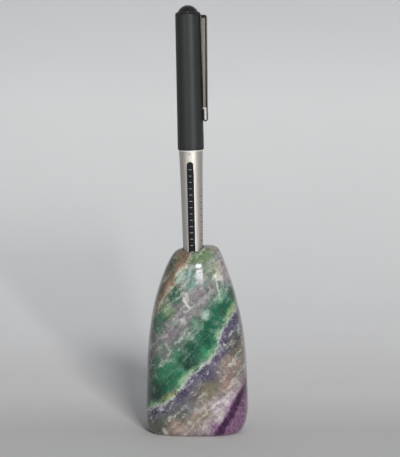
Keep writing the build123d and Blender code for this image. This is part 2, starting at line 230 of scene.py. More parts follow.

# Clouded patches above the crust and below it: x, z, half width, half height, lean, colour, strength. The
# dark teal and grey-green patches at the far left edge are partly the stone's colour and partly painted shade
# on that side
UPPER_PATCHES = [
    (-11.4, 28.2, 6.4, 5.2, 20, GREEN, 0.8),
    (-18.1, 20.1, 4.0, 4.6, 0, DARK_TEAL, 0.9),
    (-16.4, 42.0, 6.0, 6.0, 20, GREY_GREEN, 0.45),
    (-22.4, 32.0, 2.8, 8.0, 0, DARK_TEAL, 0.9),
    (-15.0, 25.6, 6.0, 5.0, 30, EMERALD, 0.5),
    (-22.0, 45.0, 2.0, 5.0, 0, GREY_GREEN, 0.7),
    (-3.5, 34.4, 4.6, 4.0, 35, DEEP_GREEN, 0.9),
    (3.6, 39.2, 3.2, 3.0, 40, BRIGHT_GREEN, 0.85),
    (-1.6, 40.0, 3.8, 3.6, 45, EMERALD, 0.8),
    (-8.4, 37.4, 3.2, 2.8, 30, GREEN, 0.7),
    (4.6, 47.4, 4.4, 6.2, 10, EMERALD, 0.95),
    (8.8, 43.6, 1.5, 4.4, 10, GREEN, 0.9),
    (-3.6, 26.6, 1.8, 1.6, 40, PALE_MINT, 0.7),
    (11.7, 59.3, 4.4, 5.6, 25, EMERALD, 0.85),
    (17.6, 64.3, 2.2, 5.0, -15, DARK_TEAL, 0.8),
    (-12.0, 46.0, 4.4, 3.8, 30, LILAC_GREY, 0.75),
    (-18.4, 52.0, 2.6, 4.0, 10, EMERALD, 0.7),
    (-14.8, 54.6, 2.4, 2.4, 0, GREEN, 0.7),
    (-12.7, 57.6, 2.8, 2.4, 30, LEAF, 0.65),
    (-9.4, 64.4, 3.0, 2.8, 20, EMERALD, 0.75),
    (-2.6, 55.4, 4.2, 5.0, 10, LILAC_GREY, 0.75),
    (0.9, 51.6, 3.6, 2.2, 45, MINT, 0.5),
    (-4.4, 62.6, 1.1, 2.8, -25, WHITE, 0.85),
    (-6.2, 52.8, 1.2, 1.2, 0, WHITE, 0.6),
    (-5.8, 39.6, 2.6, 1.6, 40, MINT, 0.6),
    (3.8, 56.6, 2.2, 2.6, 0, PALE_MINT, 0.55),
    (0.2, 63.4, 3.2, 4.0, 0, LILAC_GREY, 0.7),
    (9.9, 65.2, 3.6, 2.8, 10, MINT, 0.55),
    (6.2, 68.2, 2.6, 2.6, 0, DARK_LILAC, 0.7),
    (12.6, 74.0, 3.4, 7.0, -10, PINK_WHITE, 0.5),
    (9.6, 73.2, 1.4, 3.2, -25, WHITE, 0.75),
    (-3.5, 72.2, 3.0, 5.0, 0, TEAL_GREY, 0.85),
    (-7.5, 71.8, 1.4, 3.0, 25, PALE_MINT, 0.75),
    (5.6, 76.0, 3.0, 3.6, 0, LEAF, 0.55),
    (11.6, 79.4, 3.6, 4.4, 0, LILAC_GREY, 0.85),
    (2.4, 82.6, 5.6, 3.0, 0, MOSS, 0.95),
    (8.0, 85.2, 3.6, 1.8, 0, TAN, 0.6),
    (-1.4, 51.4, 2.8, 5.0, 30, GREEN, 0.5),
    (-4.4, 36.2, 4.0, 3.2, 35, DEEP_GREEN, 0.6),
    (10.0, 76.6, 3.2, 3.0, 0, CREAM, 0.45),
    (-7.6, 43.2, 3.4, 3.8, 30, EMERALD, 0.5),
    (-2.5, 32.6, 4.4, 2.4, 42, DEEP_GREEN, 0.45),
    (-2.6, 41.0, 4.0, 3.6, 30, DEEP_GREEN, 0.35),
    (-17.0, 32.8, 3.2, 3.4, 0, EMERALD, 0.6),
    (-21.0, 60.0, 2.6, 7.0, 10, DARK_TEAL, 0.45),
    (-23.4, 22.0, 2.4, 9.0, 0, DARK_TEAL, 0.6),
    (-15.6, 72.4, 2.0, 5.0, 28, GREY_GREEN, 0.4),
]
LOWER_PATCHES = [
    (15.9, 50.2, 3.2, 3.6, 40, DARK_GREY, 0.8),
    (12.6, 40.6, 2.6, 4.4, 20, DARK_GREY, 0.85),
    (19.0, 47.4, 2.4, 3.0, 20, BLUE_GREY, 0.8),
    (18.4, 39.2, 3.4, 3.8, 10, OLIVE, 0.8),
    (14.6, 33.8, 4.4, 3.0, 30, TAN, 0.7),
    (4.2, 29.2, 5.4, 2.4, 42, VIOLET, 0.85),
    (5.0, 21.4, 4.0, 5.2, 20, OLIVE, 0.75),
    (13.5, 24.6, 3.2, 4.0, 20, ROSE_TAN, 0.7),
    (11.7, 13.6, 5.4, 4.0, 35, PINK_WHITE, 0.85),
    (17.4, 19.4, 3.0, 3.6, 30, PINK_WHITE, 0.6),
    (-4.1, 13.9, 3.6, 3.0, 30, BLUE_GREY, 0.65),
    (-19.3, 5.0, 5.5, 4.8, 0, GREY_GREEN, 0.9),
    (-16.0, 10.4, 6.0, 4.0, 20, GREY_GREEN, 0.4),
    (-9.0, 4.4, 5.0, 3.6, 10, TAN, 0.75),
    (-14.0, 2.2, 1.6, 1.2, 20, WHITE, 0.7),
    (1.6, 7.6, 4.2, 4.2, 30, TAN, 0.6),
    (1.2, 12.4, 2.4, 2.2, 30, PINK_WHITE, 0.5),
    (8.6, 3.0, 3.2, 3.4, 35, MAUVE, 0.85),
    (14.6, 13.8, 1.6, 5.0, 35, MAUVE, 0.5),
    (16.0, 42.6, 2.6, 3.8, 10, DARK_GREY, 0.6),
    (6.6, 36.2, 3.2, 2.4, 42, PINK_WHITE, 0.45),
    (12.4, 10.2, 2.8, 2.8, 30, WHITE, 0.45),
    (12.0, 40.6, 2.2, 2.4, 0, DARK_GREY, 0.5),
    (18.4, 46.8, 2.4, 3.0, 20, DARK_GREY, 0.5),
    (-10.0, 12.6, 7.0, 3.0, 20, GREY_GREEN, 0.45),
    (3.4, 9.8, 3.8, 2.6, 30, OLIVE, 0.45),
    (-1.0, 18.0, 3.0, 2.4, 0, DARK_GREY, 0.3),
    (4.8, 5.0, 2.8, 3.0, 20, PINK_WHITE, 0.55),
    (-23.4, 8.0, 3.0, 9.0, 0, GREY_GREEN, 0.4),
]
PATCH_MIDDLE_Y = -14.0
PATCH_HALF_DEPTH = 16.0

# The crust: its height above the rising diagonal, for each run along it
CRUST_LINE = [
    (-10.0, 24.4),
    (-6.1, 23.6),
    (6.7, 20.9),
    (16.3, 22.2),
    (24.0, 21.8),
    (33.3, 21.6),
    (41.4, 26.2),
    (53.0, 28.2),
    (64.0, 29.6),
]
# The cream vein at the upper left: its height for each x
VEIN_LINE = [
    (-24.0, 50.0),
    (-17.1, 59.5),
    (-13.0, 66.5),
    (-10.0, 69.5),
    (-9.2, 73.5),
    (-6.0, 76.2),
    (-4.4, 79.0),
    (-2.0, 90.0),
]


class Stone(Paint):
    """The fluorite's paint: the places and noises that its layers share, and a method for each layer."""

    def __init__(self):
        super().__init__("fluorite", IOR=1.45, Coat_Weight=0.3, Coat_Roughness=0.02)
        bent = self.warp(self.place, size=7.0, reach=2.6)
        edge_place = self.warp(bent, size=1.7, reach=2.2, shift=7.0)
        stirred = self.warp(self.place, size=9.0, reach=6.0, shift=4.0)
        swirl = self.warp(stirred, size=3.0, reach=4.0, shift=9.0)
        self.fine = self.warp(swirl, size=0.9, reach=1.8, shift=3.0)
        self.x, _, self.level, self.run, rise = self.banded(edge_place)
        self.patch_place = self.join(*self.banded(self.fine)[:3])
        fine_edge = self.warp(edge_place, size=0.8, reach=1.0, shift=3.0)
        _, fine_y, _, fine_run, self.fine_rise = self.banded(fine_edge)
        self.above = self.math("SUBTRACT", rise, self.curved(self.run, CRUST_LINE, 40.0))

        # Streaks along the bands, fibres across them, clouds, mottling and grains
        long_place = self.join(self.times(fine_run, 0.16), self.times(fine_y, 0.3), self.fine_rise)
        self.streaks = self.noise(long_place, size=1.3, detail=4.0, roughness=0.62)
        cross_place = self.join(fine_run, self.times(fine_y, 0.3), self.times(self.fine_rise, 0.2))
        self.fibres = self.noise(cross_place, size=0.9, detail=4.0, roughness=0.62, shift=5.0)
        self.clouds = self.noise(swirl, size=7.0, detail=5.0, roughness=0.6, shift=11.0)
        self.mottle = self.noise(self.fine, size=2.4, detail=5.0, roughness=0.7, shift=2.0)
        self.grains = self.noise(self.place, size=0.5, detail=3.0, roughness=0.7, shift=6.0)

    def banded(self, place):
        """Places as the bands see them: x, y, the height with the bands' dip at the back taken off, and the
        run along their diagonal and the rise across it."""
        x, y, z = self.split(place)
        dip, diagonal = 15.0, 0.7071
        level = self.math("ADD", z, self.times(self.rise(y, 1.0, 19.0), dip))
        run = self.times(self.math("ADD", x, level), diagonal)
        rise = self.times(self.math("SUBTRACT", level, x), diagonal)
        return x, y, level, run, rise

    def patched(self, colour, patches):
        """A colour with soft ellipsoids of other colours near the front face, their edges broken."""
        kind = {"interpolation_type": "SMOOTHSTEP"}
        whole, nothing = 0.65, 1.45
        ragged = self.scaled(self.mottle, 0.9, -0.9)
        from_middle = self.vector("ADD", self.patch_place, (0.0, -PATCH_MIDDLE_Y, 0.0))
        depth = self.along(from_middle, (0.0, 1 / PATCH_HALF_DEPTH, 0.0))
        for x, z, half_width, half_height, lean, patch, strength in patches:
            turn = radians(lean)
            moved = self.vector("SUBTRACT", self.patch_place, (x, 0.0, z))
            width = self.along(moved, (cos(turn) / half_width, 0.0, -sin(turn) / half_width))
            height = self.along(moved, (sin(turn) / half_height, 0.0, cos(turn) / half_height))
            reach = self.math("ADD", self.length(self.join(width, depth, height)), ragged)
            fade = {0: reach, 1: whole, 2: nothing, 3: strength, 4: 0.0}
            colour = self.mix(self.add("ShaderNodeMapRange", kind, fade).outputs[0], colour, patch)
        return colour

    def upper(self):
        """Greens over the crust, and grey and lilac above them."""
        colour = self.ramp(self.above, -2.0, 32.0, [
            (-1.0, tint(76, 138, 100)),
            (2.0, tint(48, 118, 86)),
            (6.0, tint(40, 106, 82)),
            (10.0, tint(84, 128, 106)),
            (14.0, tint(130, 134, 130)),
            (22.0, tint(140, 138, 142)),
            (31.0, tint(128, 138, 118)),
        ])
        colour = self.mix(self.times(self.rise(self.clouds, 0.5, 0.66), 0.6), colour, tint(122, 156, 130))
        colour = self.mix(self.times(self.rise(self.clouds, 0.48, 0.34), 0.5), colour, tint(118, 110, 122))
        return self.patched(colour, UPPER_PATCHES)

    def lower(self):
        """Grey, tan and pink stone under the crust, with violet in clots close under it."""
        colour = self.ramp(self.above, -36.0, 0.0, [
            (-34.0, tint(118, 92, 118)),
            (-22.0, tint(166, 150, 154)),
            (-13.0, tint(142, 134, 126)),
            (-6.0, tint(116, 112, 112)),
            (-1.0, tint(116, 110, 122)),
        ])
        colour = self.mix(self.times(self.rise(self.clouds, 0.48, 0.64), 0.6), colour, tint(152, 138, 134))
        colour = self.patched(colour, LOWER_PATCHES)
        clots = self.rise(self.noise(self.fine, size=2.2, detail=4.0, roughness=0.65, shift=9.0), 0.4, 0.56)
        band = self.times(self.rise(self.above, -5.2, -3.0), self.rise(self.above, -0.4, -1.6))
        band = self.times(band, self.scaled(clots, 0.25, 0.95))
        colour = self.mix(self.times(self.rise(self.above, -7.5, -3.5), 0.5), colour, tint(108, 102, 122))
        return self.mix(band, colour, VIOLET)

    def shell(self, colour):
        """Upper left: olive stone outside a cream vein."""
        outside = self.math("SUBTRACT", self.level, self.curved(self.x, VEIN_LINE, 100.0))
        corner = self.rise(self.x, -1.8, -3.0)
        beyond = self.times(self.rise(outside, -0.8, 1.2), corner)
        olive = self.ramp(outside, 0.0, 16.0, [
            (0.0, tint(176, 160, 130)),
            (2.5, tint(144, 120, 98)),
            (6.0, tint(126, 116, 92)),
            (10.0, tint(96, 98, 78)),
            (15.0, tint(78, 84, 68)),
        ])
        rusty = self.times(self.rise(self.mottle, 0.44, 0.6), self.line(outside, 3.6, 4.2), 0.65)
        colour = self.mix(beyond, colour, self.mix(rusty, olive, RUST))
        vein = self.times(self.line(outside, -0.4, 2.0), corner, self.rise(self.mottle, 0.36, 0.6), 0.85)
        return self.mix(vein, colour, CREAM)

    def shading(self, colour):
        """Facets, mottling and streaks inside the stone, and painted shade that darkens its left side."""
        broken = self.warp(self.place, size=1.6, reach=1.6, shift=8.0)
        facets = self.split(self.cells(broken, size=4.2).outputs["Color"])
        shade = self.math("ADD", self.scaled(self.mottle, 0.05, 1.45), self.scaled(self.streaks, -0.4, 0.55))
        shade = self.times(shade, self.scaled(facets[0], 0.8, 1.16), self.scaled(self.grains, 0.75, 1.25))
        colour = self.shaded(colour, shade)
        # Painted shade: the colour darkens to 0.7 of itself where the surface faces left
        facing = self.split(self.add("ShaderNodeNewGeometry", {}, {}).outputs["Normal"])
        return self.shaded(colour, self.scaled(self.rise(facing[0], -0.66, -0.94), 1.0, 0.7))

    def veils(self, colour):
        """Pale veils that fade on one side and break off on the other, fine fibres, cracks and small white
        inclusions, all fewer in the green over the crust."""
        drift = self.times(self.clouds, 2.2)
        wave = self.math("FRACT", self.math("ADD", self.times(self.fine_rise, 0.13), drift))
        calm = self.math("MAXIMUM", self.rise(self.x, -12.0, -6.0), self.rise(self.level, 40.0, 32.0))
        calm = self.times(self.rise(self.above, 0.6, 2.2), self.rise(self.above, 14.0, 9.5), calm)
        busy = self.scaled(calm, 1.0, 0.3)
        veil = self.times(self.rise(wave, 0.4, 0.97), self.rise(wave, 1.0, 0.97))
        veil = self.times(veil, self.rise(self.streaks, 0.46, 0.66), busy, 0.6)
        colour = self.mix(veil, colour, tint(202, 210, 202))
        wisp = self.times(self.rise(self.fibres, 0.52, 0.76), self.rise(self.clouds, 0.42, 0.6), busy, 0.5)
        colour = self.mix(wisp, colour, tint(208, 212, 206))
        crack = self.times(self.line(self.streaks, 0.5, 0.03), self.rise(self.fibres, 0.5, 0.66), busy, 0.24)
        colour = self.mix(crack, colour, tint(214, 220, 210))

        specks = self.cells(self.fine, size=2.1)
        chosen = self.rise(self.split(specks.outputs["Color"])[1], 0.9, 0.92)
        speck = self.times(chosen, self.rise(specks.outputs["Distance"], 0.4, 0.14))
        speck = self.times(speck, self.rise(self.x, -15.0, -9.0), busy, 0.45)
        return self.mix(speck, colour, tint(218, 216, 212))

    def stripe(self, colour):
        """The purple stripe with its lilac edge, and the magenta stone past it."""
        slope, foot, square_share = 0.59, 9.55, 0.861
        stripe_x = self.math("ADD", self.times(self.level, slope), foot)
        past = self.times(self.math("SUBTRACT", self.x, stripe_x), square_share)
        past = self.math("ADD", past, self.scaled(self.mottle, -1.1, 1.1))
        magenta = self.mix(self.rise(self.grains, 0.5, 0.68), MAGENTA, tint(168, 142, 160))
        magenta = self.mix(self.rise(self.fibres, 0.5, 0.38), magenta, tint(92, 56, 92))
        colour = self.mix(self.rise(past, 0.2, 2.4), colour, magenta)
        edge = self.times(self.rise(past, -4.8, -1.2), self.rise(past, 0.0, -1.0))
        edge = self.times(edge, self.scaled(self.streaks, 0.0, 1.2))
        colour = self.mix(edge, colour, MAUVE)
        core = self.mix(self.rise(self.fibres, 0.46, 0.62), PURPLE, tint(82, 38, 82))
        from_core = self.math("ABSOLUTE", self.math("ADD", past, 0.1))
        return self.mix(self.rise(from_core, 2.6, 0.9), colour, core)

    def crust(self, colour):
        """The pale crust, a broken line of fine crystals, with gold against it in places."""
        gold = self.math("MAXIMUM", self.line(self.run, 5.6, 6.5), self.line(self.run, 52.5, 6.0))
        gold = self.times(self.line(self.above, 1.2, 2.2), gold, self.rise(self.mottle, 0.36, 0.56), 0.85)
        colour = self.mix(gold, colour, GOLD)
        halo = self.times(self.line(self.above, 1.2, 2.4), self.rise(self.clouds, 0.38, 0.56))
        halo = self.times(halo, self.rise(self.streaks, 0.34, 0.54), 0.7)
        colour = self.mix(halo, colour, tint(150, 184, 146))
        crust = self.times(self.line(self.above, -0.1, 1.2), self.rise(self.mottle, 0.38, 0.6))
        crust = self.times(crust, self.scaled(self.grains, 0.3, 1.3))
        colour = self.mix(self.math("MINIMUM", crust, 0.9), colour, tint(188, 190, 186))
        sparks = self.cells(self.place, size=0.5)
        bright = self.rise(self.split(sparks.outputs["Color"])[0], 0.76, 0.95)
        near_crust = self.times(self.rise(self.above, -5.0, -0.6), self.rise(self.above, 1.6, 0.2))
        spark = self.times(bright, self.rise(sparks.outputs["Distance"], 0.55, 0.15), near_crust, 0.65)
        return self.mix(spark, colour, tint(220, 216, 224))


def stone_material():
    stone = Stone()
    upper, lower = stone.upper(), stone.lower()
    colour = stone.mix(stone.rise(stone.above, -0.6, 0.5), lower, upper)
    for layer in (stone.shell, stone.shading, stone.veils, stone.stripe, stone.crust):
        colour = layer(colour)
    stone.finish(Base_Color=colour, Roughness=stone.scaled(stone.clouds, 0.04, 0.12))
    stone.bump(stone.clouds, depth=0.05, strength=0.4)
    return stone.material


# Plain stage, camera and light


def seen_share(tree):
    """1 where something is seen, mirrored or seen through glass, and 0 where it only throws light."""
    path = tree.nodes.new("ShaderNodeLightPath")
    share = path.outputs["Is Camera Ray"]
    for ray in ("Is Glossy Ray", "Is Transmission Ray"):
        either = tree.nodes.new("ShaderNodeMath")
        either.operation = "MAXIMUM"
        tree.links.new(share, either.inputs[0])
        tree.links.new(path.outputs[ray], either.inputs[1])
        share = either.outputs[0]
    return share


def stage_material():
    """A pale sheet with painted light and shade: paler towards the back, darker at the front and where the
    wall rises, and a little darker on the left.
    """
    paint = Paint("stage", Roughness=0.85, Specular_IOR_Level=0.2)
    x, y = paint.split(paint.place)[:2]
    speck = paint.noise(paint.place, size=60.0, detail=2.0)
    # Painted light and shade: darker at the front, palest a little behind the object, darker again up the
    # curve
    colour = paint.ramp(y, -100.0, 900.0, [
        (-60.0, tint(222, 222, 221)),
        (0.0, tint(222, 221, 220)),
        (100.0, tint(242, 241, 240)),
        (250.0, tint(250, 250, 250)),
        (650.0, tint(242, 244, 244)),
        (850.0, tint(204, 204, 208)),
    ])
    # Painted shade: a little darker on the left
    colour = paint.mix(paint.times(paint.rise(x, -60.0, -320.0), 0.12), colour, tint(120, 120, 124))
    # The far sides throw little light on the object, but show pale
    sides = paint.mix(seen_share(paint.tree), tint(140, 140, 142), tint(196, 196, 198))
    colour = paint.mix(paint.rise(paint.math("ABSOLUTE", x), 420.0, 900.0), colour, sides)
    colour = paint.mix(paint.scaled(speck, 0.0, 0.05), colour, tint(150, 150, 150))
    paint.finish(Base_Color=colour)
    # Seen from behind, the backdrop isn't there
    behind = paint.add("ShaderNodeNewGeometry", {}, {}).outputs["Backfacing"]
    clear = paint.add("ShaderNodeBsdfTransparent", {}, {}).outputs[0]
    choice = {0: behind, 1: paint.shader.outputs["BSDF"], 2: clear}
    sheet = paint.add("ShaderNodeMixShader", {}, choice).outputs[0]
    paint.tree.links.new(sheet, paint.output.inputs["Surface"])
    return paint.material


def add_object(name, data):
    obj = bpy.data.objects.new(name, data)
    bpy.context.scene.collection.objects.link(obj)
    return obj


def stage():
    """A floor that curves up into a wall behind the object."""
    front, turn_at, radius, top, half, steps = -2.6, 0.2, 1.1, 2.4, 3.0, 16
    # The last flat strip is short, so that smooth shading bends little of the floor
    profile = [(front, 0.0), (-1.0, 0.0), (0.0, 0.0), (turn_at, 0.0)]
    for step in range(1, steps + 1):
        angle = pi / 2 * step / steps
        profile.append((turn_at + radius * sin(angle), radius - radius * cos(angle)))
    profile.append((turn_at + radius, top))
    mesh = bpy.data.meshes.new("backdrop")
    points = [(side * half, y, z) for y, z in profile for side in (-1, 1)]
    faces = [(2 * i, 2 * i + 1, 2 * i + 3, 2 * i + 2) for i in range(len(profile) - 1)]
    mesh.from_pydata(points, [], faces)
    mesh.shade_smooth()
    backdrop = add_object("backdrop", mesh)
    mesh.materials.append(stage_material())


WHITE_LIGHT = (1.0, 1.0, 1.0)
PANE_DISTANCE = 2.2
LIT_PLACE = Vector((0.0, 0.0, 0.08))


def lamp(
    name,
    azimuth,
    elevation,
    width,
    height,
    radiance,
    colour=WHITE_LIGHT,
    mirrored=True,
    distance=PANE_DISTANCE,
    only=(),
):
    """A rectangular lamp that faces the object, its place and size in degrees as the object sees it.

    A mirrored one is a window pane that only shows in glossy surfaces, and where nodes are named, in theirs
    alone. The others only light the scene.
    """
    data = bpy.data.lights.new(name, "AREA")
    data.shape = "RECTANGLE"
    data.size = distance * radians(width) * cos(radians(elevation))
    data.size_y = distance * radians(height)
    data.energy = radiance * pi * data.size * data.size_y
    data.color = colour
    obj = add_object(name, data)
    turn, rise = radians(azimuth), radians(elevation)
    way = Vector((sin(turn) * cos(rise), -cos(turn) * cos(rise), sin(rise)))
    obj.location = way * distance + LIT_PLACE
    obj.rotation_euler = (LIT_PLACE - obj.location).to_track_quat("-Z", "Y").to_euler()
    obj.visible_glossy = mirrored
    obj.visible_diffuse = not mirrored
    if only:
        receivers = bpy.data.collections.new(name)
        for node in only:
            receivers.objects.link(nodes[node])
        obj.light_linking.receiver_collection = receivers


def lamps():
    # Each with its azimuth, elevation, width, height and radiance, and its colour where it isn't white
    lamp("daylight", 10.5, 18.5, 10.0, 8.0, 116.0, (1.0, 0.99, 0.98), mirrored=False, distance=8.0)
    lamp("room_front", 6.0, 4.0, 80.0, 24.0, 0.4, (1.0, 0.98, 0.96), mirrored=False)
    # The window's panes, as the stone mirrors them
    lamp("pane_top", -0.6, 46.4, 9.0, 9.0, 16.0, (0.94, 1.0, 0.97))
    lamp("pane_low", 2.2, 33.4, 9.5, 12.0, 10.0)
    lamp("pane_foot", 3.0, 25.0, 10.0, 4.4, 5.5)
    lamp("pane_left", -11.5, 37.0, 8.0, 26.0, 4.4, (0.86, 0.95, 1.0))
    lamp("side_window", 49.0, 22.5, 6.5, 12.0, 5.0, (1.0, 0.97, 0.94))
    # Soft streaks down the pen
    satin = ("barrel_sleeve", "cap_shell")
    lamp("sheen_right", 25.0, 12.0, 13.0, 10.0, 45.0, (1.0, 0.99, 0.97), only=satin)
    lamp("sheen_left", -34.0, 12.0, 13.0, 10.0, 19.0, (1.0, 0.97, 0.93), only=satin)
    lamp("sheen_middle", 2.0, 12.0, 44.0, 10.0, 7.5, (1.0, 0.99, 0.97), only=("barrel_sleeve",))


def world():
    """A pale room that shines less from its left; where it is seen or mirrored it is a plain grey."""
    room = bpy.data.worlds.new("room")
    room.use_nodes = True
    tree = room.node_tree
    way = tree.nodes.new("ShaderNodeTexCoord").outputs["Generated"]
    parts = tree.nodes.new("ShaderNodeSeparateXYZ")
    tree.links.new(way, parts.inputs[0])
    side = tree.nodes.new("ShaderNodeMapRange")
    tree.links.new(parts.outputs[0], side.inputs[0])
    left, right, left_strength, right_strength = -0.8, 0.8, 0.06, 0.46
    for socket, value in zip(list(side.inputs)[1:5], (left, right, left_strength, right_strength)):
        socket.default_value = value
    shining = tree.nodes["Background"]
    shining.inputs["Color"].default_value = tint(222, 226, 230)
    tree.links.new(side.outputs[0], shining.inputs["Strength"])
    seen = tree.nodes.new("ShaderNodeBackground")
    seen.inputs["Color"].default_value = tint(150, 152, 155)
    choice = tree.nodes.new("ShaderNodeMixShader")
    tree.links.new(seen_share(tree), choice.inputs[0])
    tree.links.new(shining.outputs[0], choice.inputs[1])
    tree.links.new(seen.outputs[0], choice.inputs[2])
    tree.links.new(choice.outputs[0], tree.nodes["World Output"].inputs["Surface"])
    bpy.context.scene.world = room


def camera():
    aside, distance, height, pitch = 0.0015, 1.5, 0.27, 6.705
    data = bpy.data.cameras.new("camera")
    data.lens = 260.0
    data.sensor_width = 36.0
    obj = add_object("camera", data)
    obj.location = (aside, -distance, height)
    obj.rotation_euler = (radians(90.0 - pitch), 0.0, 0.0)
    bpy.context.scene.camera = obj


# Pen materials. Stations are millimetres along the pen from its tail


def pen_places(paint):
    """Places in the pen's own directions: towards the clip, towards the window, and along it."""
    from_foot = paint.vector("SUBTRACT", paint.place, tuple(PEN_FOOT / MM))
    return tuple(paint.along(from_foot, tuple(way)) for way in (CLIP_WAY, WINDOW_WAY, PEN_UP))


def grained(paint, grain, colour, low):
    """A colour that the grain darkens to a share of itself."""
    return paint.mix(grain, tint(*[c * low for c in colour]), tint(*colour))


def satin_metal(name, colour, roughness, grain_length=18.0, metal=1.0):
    """Metal, or paint with metal in it, brushed along the pen."""
    paint = Paint(name, Metallic=metal)
    clip_side, front_side, up = pen_places(paint)
    grain_place = paint.join(clip_side, front_side, paint.times(up, 1.0 / grain_length))
    grain = paint.noise(grain_place, size=0.16, detail=3.0, roughness=0.6)
    wear = paint.noise(paint.place, size=5.0, detail=3.0, roughness=0.6, shift=4.0)
    worn = tint(*[c * 0.8 for c in colour])
    shade = paint.mix(paint.scaled(wear, 0.0, 0.12), grained(paint, grain, colour, 0.9), worn)
    brushed = paint.scaled(grain, roughness - 0.07, roughness + 0.05)
    paint.finish(Base_Color=shade, Roughness=paint.math("ADD", brushed, paint.scaled(wear, -0.05, 0.05)))
    paint.bump(grain, depth=0.0012, strength=0.5)
    return paint.material


def moulded(name, colour, roughness, grain_depth=0.004, **finish):
    """Moulded plastic with a fine grain and slight unevenness."""
    paint = Paint(name, **finish)
    grain = paint.noise(paint.place, size=0.18, detail=3.0, roughness=0.6)
    wear = paint.noise(paint.place, size=4.0, detail=3.0, roughness=0.6, shift=6.0)
    pale = tint(*[min(255, c * 1.12) for c in colour])
    shade = paint.mix(paint.scaled(wear, 0.0, 0.2), grained(paint, grain, colour, 0.88), pale)
    paint.finish(Base_Color=shade, Roughness=paint.scaled(wear, roughness - 0.05, roughness + 0.05))
    paint.bump(grain, grain_depth, 0.6)
    return paint.material


def cap_material():
    """Soft charcoal lacquer, darker and browner at the mouth's lip, with painted shade at the top's edge."""
    paint = Paint("charcoal", IOR=1.45, Specular_IOR_Level=0.35)
    lip, shaded_top_edge = (84.3, 83.2), (143.6, 144.8)
    up = pen_places(paint)[2]
    grain = paint.noise(paint.place, size=0.14, detail=2.0, roughness=0.6)
    wear = paint.noise(paint.place, size=6.0, detail=4.0, roughness=0.6, shift=8.0)
    shade = paint.mix(grain, tint(34, 36, 37), tint(48, 50, 50))
    shade = paint.mix(paint.scaled(wear, 0.0, 0.3), shade, tint(42, 46, 46))
    # Darker at the mouth's lip, and painted shade at the top's edge
    dark = paint.math("MAXIMUM", paint.times(paint.rise(up, *lip), 0.7), paint.rise(up, *shaded_top_edge))
    shade = paint.mix(dark, shade, tint(34, 30, 30))
    paint.finish(Base_Color=shade, Roughness=paint.scaled(wear, 0.40, 0.52))
    paint.bump(grain, depth=0.005, strength=0.5)
    return paint.material


def clip_material():
    """Warm polished steel, with painted shade on its outer plate, next to the cap and at both ends."""
    paint = Paint("clip_steel", Metallic=1.0)
    # Where each band of painted shade begins and where it is full; the plate stands a little further out
    # towards its top
    outer_plate, cap_shadow_band, top_bend, foot = (5.6, 5.85), (6.55, 6.3), (142.6, 143.2), (102.4, 101.9)
    plate_slope = 0.0159
    clip_side, front_side, up = pen_places(paint)
    grain_place = paint.join(clip_side, front_side, paint.times(up, 0.08))
    grain = paint.noise(grain_place, size=0.2, detail=3.0, roughness=0.6)
    smudge = paint.noise(paint.place, size=3.0, detail=3.0, roughness=0.6, shift=5.0)
    steel = paint.mix(smudge, tint(194, 182, 168), tint(216, 206, 192))
    # Painted shade: the outer plate, the cap's shadow on the clip's inner side, the top bend and the foot
    # turn dark
    outer = paint.rise(paint.math("SUBTRACT", clip_side, paint.times(up, plate_slope)), *outer_plate)
    edges = paint.math("MAXIMUM", outer, paint.rise(clip_side, *cap_shadow_band))
    ends = paint.math("MAXIMUM", paint.rise(up, *top_bend), paint.rise(up, *foot))
    dark = paint.times(paint.math("MAXIMUM", edges, ends), 0.92)
    steel = paint.mix(dark, steel, tint(44, 37, 32))
    paint.finish(Base_Color=steel, Roughness=paint.scaled(grain, 0.2, 0.34))
    paint.bump(grain, depth=0.0012, strength=0.5)
    return paint.material


def thread_material(name, colour, roughness, foot, top, **finish):
    """Moulded plastic that carries the barrel's screw thread between two stations."""
    lead, run_out = 1.5, 0.4
    paint = Paint(name, **finish)
    clip_side, front_side, up = pen_places(paint)
    angle = paint.math("DIVIDE", paint.math("ARCTAN2", front_side, clip_side), 2 * pi)
    turns = paint.math("ADD", paint.times(up, 1.0 / lead), angle)
    ridge = paint.math("PINGPONG", turns, 0.5)
    held = paint.times(paint.rise(up, foot, foot + run_out), paint.rise(up, top, top - run_out))
    grain = paint.noise(paint.place, size=0.2, detail=3.0, roughness=0.6)
    shade = grained(paint, grain, colour, 0.88)
    paint.finish(Base_Color=shade, Roughness=paint.scaled(grain, roughness - 0.05, roughness + 0.05))
    height = paint.math("ADD", paint.times(ridge, held, 2.0), paint.times(grain, 0.012))
    paint.bump(height, depth=0.25, strength=1.0)
    return paint.material


# Fine pieces on the pen


def surface_of(node):
    mesh = nodes[node].data
    return BVHTree.FromPolygons([v.co for v in mesh.vertices], [tuple(p.vertices) for p in mesh.polygons])


def on_pen(surface, along, across, lift):
    """A point on the pen, from its station and its arc from the window's middle towards the clip."""
    axis_point = PEN_FOOT + PEN_UP * along * MM
    radius, start_out = 5.0, 30.0
    # The first hit gives the radius that the arc is measured on
    for _ in range(2):
        angle = across / radius
        out = WINDOW_WAY * cos(angle) + CLIP_WAY * sin(angle)
        hit = surface.ray_cast(axis_point + out * start_out * MM, -out)[0]
        radius = (hit - axis_point).length / MM
    return axis_point + out * (radius + lift) * MM


def wrap(name, surface, points, faces, body, material, lift=0.012):
    """A flat drawing in millimetres, laid on the pen: x runs round it from the window, y along it."""
    mesh = bpy.data.meshes.new(name)
    mesh.from_pydata([on_pen(surface, y, x, lift) for x, y in points], [], faces)
    mesh.shade_smooth()
    mesh.materials.append(material)
    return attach(add_object(name, mesh), body)


